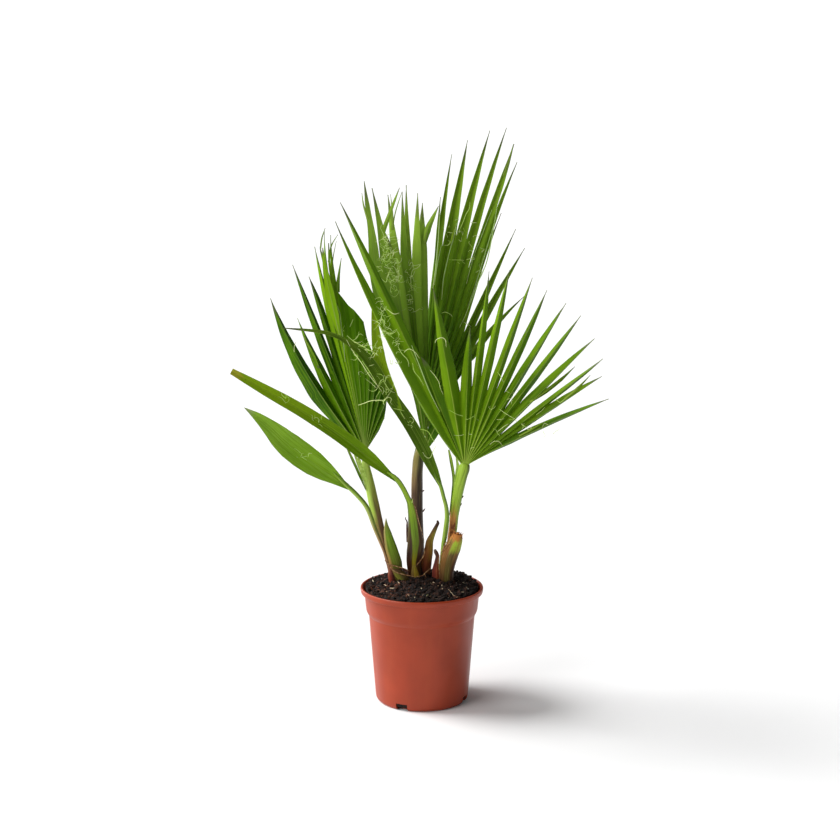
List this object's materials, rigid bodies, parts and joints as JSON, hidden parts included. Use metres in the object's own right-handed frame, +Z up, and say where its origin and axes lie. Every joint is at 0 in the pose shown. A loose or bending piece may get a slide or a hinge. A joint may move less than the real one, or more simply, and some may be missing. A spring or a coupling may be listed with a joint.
{
  "type": "potted mexican fan palm",
  "caption": "Young fan palm, several plants growing together in a round moulded nursery pot, with folded fan leaves on thorny stalks.",
  "frame": {"origin": "centre of the pot's underside, on the surface that the pot stands on", "axes": "+Z up along the pot's axis, -Y to the front, +X to the plant's right as it is seen from the front"},
  "size_m": [0.4383, 0.1988, 0.6921],
  "materials": {
    "pot": "satin",
    "soil": "matte",
    "leaf_base": "matte",
    "fan_leaf": "satin",
    "young_leaf": "satin"
  },
  "bodies": {
    "root": {"pot": "pot", "soil": "soil", "crown_left": "leaf_base", "crown_centre": "leaf_base", "crown_right": "leaf_base", "left_fan": "fan_leaf", "centre_front_fan": "fan_leaf", "centre_back_fan": "fan_leaf", "right_fan": "fan_leaf", "lance_leaf": "young_leaf", "strap_leaf": "young_leaf", "bent_leaf": "young_leaf"}
  },
  "joints": []
}
